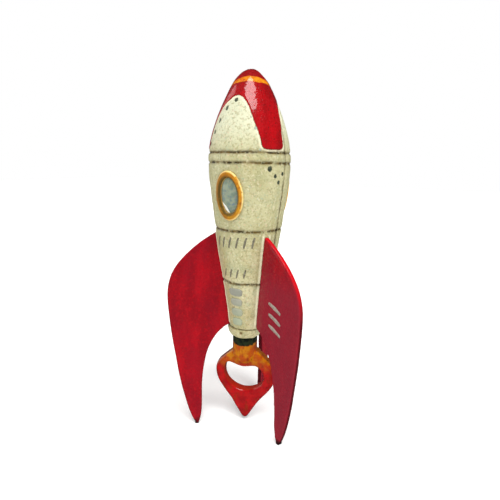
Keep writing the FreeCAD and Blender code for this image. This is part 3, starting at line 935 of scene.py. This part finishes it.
def porthole_ring(side, port, paint):
    """A rounded oval ring with a lip down to the glass."""
    turn = once_round(144)
    rows = []
    for out, offset, _, _ in RING_PROFILE:
        wide = FLANGE_WIDTH if offset <= RING_BACK else PORT_HALF - GLASS_HALF
        rows.append(port_oval(port, GLASS_HALF + out * wide, turn, offset))
    points = np.stack(rows)
    points += 0.09 * lumps(points, 5, 4)[..., None] * (0.3, 0.3, 1.0)
    # painted shade inside the ring, heavier on its left, and a painted highlight on its rim,
    # fainter on the left
    left = 0.5 - 0.5 * np.sin(turn + 0.3)
    inner = [np.clip(shade + 0.6 * left * (pale == 0), 0, 1) for _, _, shade, pale in RING_PROFILE]
    rim = [pale * (1 - 0.5 * left) for _, _, _, pale in RING_PROFILE]
    faces = grid_faces(len(rows), len(turn), wrap_rows=True, wrap_columns=True)
    piece = make_piece("porthole_ring_enamel_" + side, points, faces, paint,
                       inner=inner, rim=rim)
    modify(piece, ("SUBSURF", {"levels": 1, "render_levels": 1}))
    finish(piece, "ochre_paint", "porthole_ring_" + side)


def porthole_glass(side, port, paint):
    """A slightly domed oval pane, closed at the back."""
    turn = once_round(96)
    levels = [(share, dome(share)) for share in np.linspace(0.06, 1, 14)]
    levels += [(1.04, -2.2), (1.0, -3.0), (0.5, -3.1), (0.06, -3.1)]
    rows, shade = [], []
    for share, offset in levels:
        rows.append(port_oval(port, GLASS_HALF * PANE_OVERLAP * share, turn, offset))
        lower_right = np.clip(np.cos(turn + 0.5), 0, 1)
        shade.append(ease(share, 0.82, 1.02) * (0.45 + 0.55 * lower_right))
    piece = make_piece("porthole_pane_" + side, rows, stack_faces, paint, shade=shade)
    finish(piece, "porthole_glass", "porthole_glass_" + side)


def porthole_glint(side, port, paint):
    """A painted highlight: a white crescent along the lower left of a pane."""
    share = np.linspace(0, 1, 25)
    turn = np.radians(GLINT_START + share * GLINT_SWEEP)
    width = GLINT_WIDTH * np.sin(np.pi * share) ** 0.6 + 0.004
    rows = []
    for inwards, lift in ((0, -0.15), (0.15, 0.1), (0.5, 0.16), (0.85, 0.1), (1, -0.15)):
        reach = 0.985 - inwards * width
        rows.append(port_oval(port, GLASS_HALF[:, None] * reach, turn, dome(reach) + lift))
    piece = make_piece("porthole_glint_" + side, rows, strip_faces, paint)
    finish(piece, "ivory_paint")


# ---- small painted detail ----

def blob(azimuth, height, half_width, half_height, lift, base, seed):
    """Points of one small uneven dome on the body, as rings that shrink to its middle."""
    turn = once_round(14)
    rng = random.Random(seed)
    uneven = np.array([1 + 0.16 * (rng.random() - 0.5) for _ in turn])
    rows = []
    for share, rise in ((1.0, -0.25), (0.95, 0.3), (0.7, 0.8), (0.3, 1.0)):
        across = half_width * share * uneven * np.sin(turn)
        up = half_height * share * uneven * np.cos(turn)
        run = run_at(height + up)
        rows.append(on_body(azimuth + spread(across, height), run, base + lift * rise))
    return np.stack(rows)


def dots(name, places, paint):
    """Many small domes in one mesh, from blob's arguments."""
    points, faces = [], []
    for index, place in enumerate(places):
        rings = blob(*place, index + 1)
        start = sum(len(p) for p in points)
        points.append(rings.reshape(-1, 3))
        faces += [tuple(start + k for k in face) for face in stack_faces(*rings.shape[:2])]
    finish(make_piece(name, np.vstack(points), faces, paint), "ivory_paint")


def rivets(dark, faint):
    """Rivets inside the edge of each arch, worn away at the front one's right."""
    places = [(*rivet, 0.12, 0.05) for rivet in FRONT_RIVETS]
    for middle in (130.0, -124.0):
        for side in (-1, 1):
            for height in SIDE_RIVETS:
                near = np.abs(wrap(EDGE_AZIMUTH - middle)) < 70
                columns = EDGE_AZIMUTH[(EDGE_HEIGHT > height) & near]
                edge = columns.min() if side < 0 else columns.max()
                inset = float(spread(RIVET_INSET, height))
                places.append((edge - side * inset, height, 0.75, 1.15, 0.12, 0.05))
    dots("arch_rivets", places, dark)
    dots("worn_rivets", [(*rivet, 0.04, 0.02) for rivet in FAINT_RIVETS], faint)


def groove_specks(paint):
    """Short dark dashes that collect along the top groove."""
    rng = random.Random(12)
    places = []
    for _ in range(34):
        azimuth = rng.uniform(-180, 180)
        wide = rng.uniform(0.5, 1.5)
        height = GROOVES[0] + rng.uniform(-0.2, 0.35)
        places.append((azimuth, height, wide, 0.34, 0.14, -0.6))
    dots("groove_specks", places, paint)


def rounded_pad(azimuth, height, half_width, half_height, corner, lift):
    """Rings of a round-cornered raised pad on the body."""
    turn = once_round(48)
    squareness = 2 / 3.4
    across = np.sign(np.sin(turn)) * np.abs(np.sin(turn)) ** squareness
    up = np.sign(np.cos(turn)) * np.abs(np.cos(turn)) ** squareness
    rows = []
    for inset, rise in ((0.0, -0.3), (0.05, 0.5), (corner * 0.5, 0.95), (corner, 1.0)):
        x = across * (half_width - inset)
        z = up * (half_height - inset)
        rows.append(on_body(azimuth + spread(x, height), run_at(height + z), lift * rise))
    return np.stack(rows)


def tail_windows(paint):
    """Four raised grey windows, one below the other."""
    for index, share in enumerate(WINDOW_WIDTHS):
        height = WINDOW_TOP - index * WINDOW_PITCH
        half_width = float(radius_at(height)) * math.radians(WINDOW_HALF_ANGLE) * share
        rings = rounded_pad(WINDOW_AZIMUTH, height, half_width, WINDOW_HALF_HEIGHT, 0.9, 0.6)
        rings += 0.12 * lumps(rings, 2.5, index + 1)[..., None] * (1.0, 0.2, 1.0)
        piece = make_piece(f"tail_window_{index + 1}", rings, stack_faces, paint)
        finish(piece, "ivory_paint")


def brush_stroke(name, place, start, end, width, paint, slot, seed):
    """A short ragged stroke.  place(u, v, lift) turns flat coordinates into points."""
    along = np.linspace(0, 1, 25)
    start, end = np.array(start), np.array(end)
    direction = (end - start) / np.linalg.norm(end - start)
    side = np.array([-direction[1], direction[0]])
    body = np.sin(np.pi * np.clip(along * 0.94 + 0.03, 0, 1)) ** 0.22
    ragged = np.array([noise.noise((seed * 3.1, a * 6, 0.5)) for a in along])
    half = width / 2 * body * (1 + 0.22 * ragged)
    bow = 0.12 * width * np.sin(np.pi * along)
    rows = []
    for share, lift in ((-1, -0.05), (-0.85, 0.06), (0, 0.09), (0.85, 0.06), (1, -0.05)):
        flat = start + along[:, None] * (end - start) + (share * half + bow)[:, None] * side
        rows.append(place(flat[:, 0], flat[:, 1], lift))
    finish(make_piece(name, rows, strip_faces, paint), slot)


def body_marks(paint):
    """Two rows of plain slanting hatch strokes on the body's two lower panels."""
    def place(across, height, lift):
        return on_body(spread(across, height), run_at(height), lift + 0.14)

    for row, count, first, pitch, slant, low, high, width, seed in STROKE_ROWS:
        for index in range(count):
            middle, rise = first + pitch * index, STROKE_RISE * index
            start, end = (middle - slant, low + rise), (middle + slant, high + rise)
            brush_stroke(f"{row}_stroke_{index + 1}", place, start, end, width, paint,
                         "ivory_paint", seed + index)


def fin_marks(paint):
    """Three slanting grey bars on the left-hand face of the right fin."""
    out, right = fin_axes(FIN_AZIMUTHS["right"])
    up = np.array([0.0, 0.0, 1.0])

    def place(distance, height, lift):
        aside = FIN_HALF_THICKNESS + 0.02 + lift - lean(height)
        return distance[:, None] * out - aside[:, None] * right + height[:, None] * up

    for index in range(FIN_BARS):
        low = BAR_HEIGHT + BAR_PITCH * index
        start, end = ((BAR_REACH[k], low + BAR_ENDS[k]) for k in (0, 1))
        brush_stroke(f"fin_bar_{index + 1}", place, start, end, 2.6, paint, "red_paint",
                     index + 20)


# ---- fins and opener ----

def cast_copy(name, node, voxel, passes, wobble, paint, slot):
    """A CAD casting with softened edges and the unevenness of a hand-finished one."""
    piece = link_object(name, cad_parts[node].data.copy())
    modify(piece, ("REMESH", {"mode": "VOXEL", "voxel_size": voxel * MM}),
           ("SMOOTH", {"factor": 0.5, "iterations": passes}))
    mesh = piece.data
    points, normals = np.zeros((2, len(mesh.vertices) * 3))
    mesh.vertices.foreach_get("co", points)
    mesh.vertices.foreach_get("normal", normals)
    points, normals = points.reshape(-1, 3) / MM, normals.reshape(-1, 3)
    push = roughness(points, ((wobble, 12, 1), (0.25 * wobble, 3, 2)))
    off_floor = np.clip(points[:, 2] / 2, 0, 1)
    points = points + normals * (push * off_floor)[:, None]
    mesh.vertices.foreach_set("co", (points * MM).ravel())
    mesh.update()
    cover(mesh, paint)
    finish(piece, slot, node)
    return piece, points, normals


def fins(paint):
    for side, azimuth in FIN_AZIMUTHS.items():
        piece, points, normals = cast_copy("fin_blade_" + side, "fin_" + side, 0.5, 3, 0.12,
                                           paint, "red_paint")
        out, across = fin_axes(azimuth)
        turned = 1 - np.abs(normals @ across)
        # painted shade on the rounded edges, a painted highlight on the upper leading edge, and a
        # painted mauve reflection lower down
        rim = ease(turned, 0.3, 0.85)
        leading = (normals @ out > 0.15) * ease(points[:, 2], 86, 118)
        below = 1 - ease(points[:, 2], 100, 124)
        bright, dull = FIN_PAINT[side]
        lead = bright * leading * ease(turned, 0.15, 0.6)
        store(piece, edge=rim * (1 - leading), lead=lead, bloom=dull * below * (1 - 0.6 * rim))


def opener(paint):
    """The tail flame: painted shade on its outer edges, orange-red walls in its mouth, black neck.
    """
    piece, points, normals = cast_copy("opener_flame_casting", "opener_flame", 0.45, 5, 0.15,
                                       paint, "flame_paint")
    facing = np.abs(normals @ np.array([OPENER_SIDE[1], -OPENER_SIDE[0], 0.0]))
    aside, height = (points - TAIL_SHIFT) @ OPENER_SIDE, points[:, 2]
    in_mouth = np.hypot(aside / MOUTH_HALF[0], (height - MOUTH_HEIGHT) / MOUTH_HALF[1]) < 1
    # painted shade on the outer walls that turn from the front; the mouth's walls get orange-red
    # instead
    rim = ease(1 - facing, 0.35, 0.85)
    store(piece, edge=0.6 * rim * ~in_mouth, mouth=0.6 * rim * in_mouth,
          neck=height - NECK_BLACK - 0.022 * aside ** 2)


# ---- camera, lights and floor ----

def camera():
    data = bpy.data.cameras.new("camera")
    data.sensor_width = SENSOR
    data.lens = LENS_WIDTHS * SENSOR
    data.clip_start = 0.01
    made = link_object("camera", data)
    forward = -direction(-CAMERA_PAN, CAMERA_TILT)
    pan, roll = math.radians(CAMERA_PAN), math.radians(CAMERA_ROLL)
    right = Vector((math.cos(pan), -math.sin(pan), 0))
    down = forward.cross(right)
    rolled = math.cos(roll) * right + math.sin(roll) * down
    up = math.sin(roll) * right - math.cos(roll) * down
    axes = Matrix((rolled, up, -forward)).transposed().to_4x4()
    stand = Matrix.Translation((0, -CAMERA_DISTANCE * MM, CAMERA_HEIGHT * MM)) @ axes
    made.matrix_world = Matrix.Rotation(math.radians(VIEW_AZIMUTH), 4, "Z") @ stand
    bpy.context.scene.camera = made


def direction(azimuth, elevation):
    """Unit vector towards an azimuth and an elevation."""
    a, e = math.radians(azimuth), math.radians(elevation)
    return Vector((math.sin(a) * math.cos(e), -math.cos(a) * math.cos(e), math.sin(e)))


def sun(name, azimuth, elevation, strength, angle, matt, mirrored):
    data = bpy.data.lights.new(name, "SUN")
    data.energy = strength
    data.angle = math.radians(angle)
    made = link_object(name, data)
    back = direction(azimuth, elevation)
    made.location = back
    made.visible_diffuse = matt
    made.visible_glossy = mirrored
    made.rotation_mode = "QUATERNION"
    made.rotation_quaternion = back.to_track_quat("Z", "Y")


def world_light():
    """White behind the rocket, softer on it, and dim in its reflections."""
    world = bpy.data.worlds.new("studio")
    bpy.context.scene.world = world
    world.use_nodes = True
    tree = world.node_tree
    ray = tree.nodes.new("ShaderNodeLightPath").outputs
    inputs = {"Factor": ray["Is Glossy Ray"], 2: WORLD_DIFFUSE, 3: WORLD_GLOSSY}
    lit = add_node(tree, "Mix", inputs)
    strength = add_node(tree, "Mix", {"Factor": ray["Is Camera Ray"], 2: lit, 3: 1.0})
    fill(tree, tree.nodes["Background"], {"Color": WHITE, "Strength": strength})


def studio():
    bpy.context.scene.view_settings.view_transform = "Standard"
    world_light()
    for index, light in enumerate(SUNS):
        sun(f"sun_{index + 1}", VIEW_AZIMUTH + light[0], *light[1:])
    paint = Paint("floor")
    base = paint.over(linear(250, 250, 248), paint.noise(60), (254, 254, 253))
    glow = {"Emission Color": WHITE, "Emission Strength": FLOOR_GLOW}
    paint.finish(base, 0.9, (0.1, 0.0, 0.1), **glow)
    steps = np.linspace(-FLOOR_HALF, FLOOR_HALF, FLOOR_POINTS)
    x, y = np.meshgrid(steps, steps, indexing="ij")
    points = np.stack([x, y, np.full_like(x, -FLOOR_DROP)], axis=-1)
    floor = make_piece("floor", points, grid_faces(FLOOR_POINTS, FLOOR_POINTS), paint.material)
    floor.visible_glossy = False


# ---- everything ----

HIDDEN_NODES = ("tie_rod", "seam_dowels", "tail_pin",
                "fin_pins_left", "fin_pins_right", "fin_pins_back")


def build():
    camera()
    studio()
    ivory = ivory_paint()
    body_half("hull_front_casting", "hull_front", 0.0, ivory)
    body_half("hull_back_casting", "hull_back", 180.0, ivory)
    nose_cap(nose_paint())
    tail_collar(ivory)
    ochre, glass = ochre_paint(), glass_paint()
    # white for the panes' painted highlights
    white = flat_paint("white_enamel", (236, 236, 220), (255, 255, 250), 0.2)
    for side, port in PORT_AZIMUTHS.items():
        porthole_ring(side, port, ochre)
        porthole_glass(side, port, glass)
        porthole_glint(side, port, white)
    olive = flat_paint("olive_dark", (50, 58, 44), (92, 100, 76), 0.5)
    rivets(olive, flat_paint("worn_blue", (150, 162, 150), (178, 186, 160), 0.5))
    groove_specks(flat_paint("patina", (62, 52, 28), (104, 90, 52), 0.6))
    dots("vent_dots", [(*vent, vent[2] * 1.1, 0.12, 0.05) for vent in VENT_DIMPLES], olive)
    tail_windows(window_paint())
    body_marks(flat_paint("mark_grey", (104, 100, 80), (138, 134, 112), 0.5))
    fins(fin_paint())
    fin_marks(flat_paint("fin_mark_grey", (140, 128, 116), (172, 160, 148), 0.4))
    opener(flame_paint())
    steel = steel_finish()
    for node in HIDDEN_NODES:
        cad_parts[node].data.materials.clear()
        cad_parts[node].data.materials.append(steel)


build()
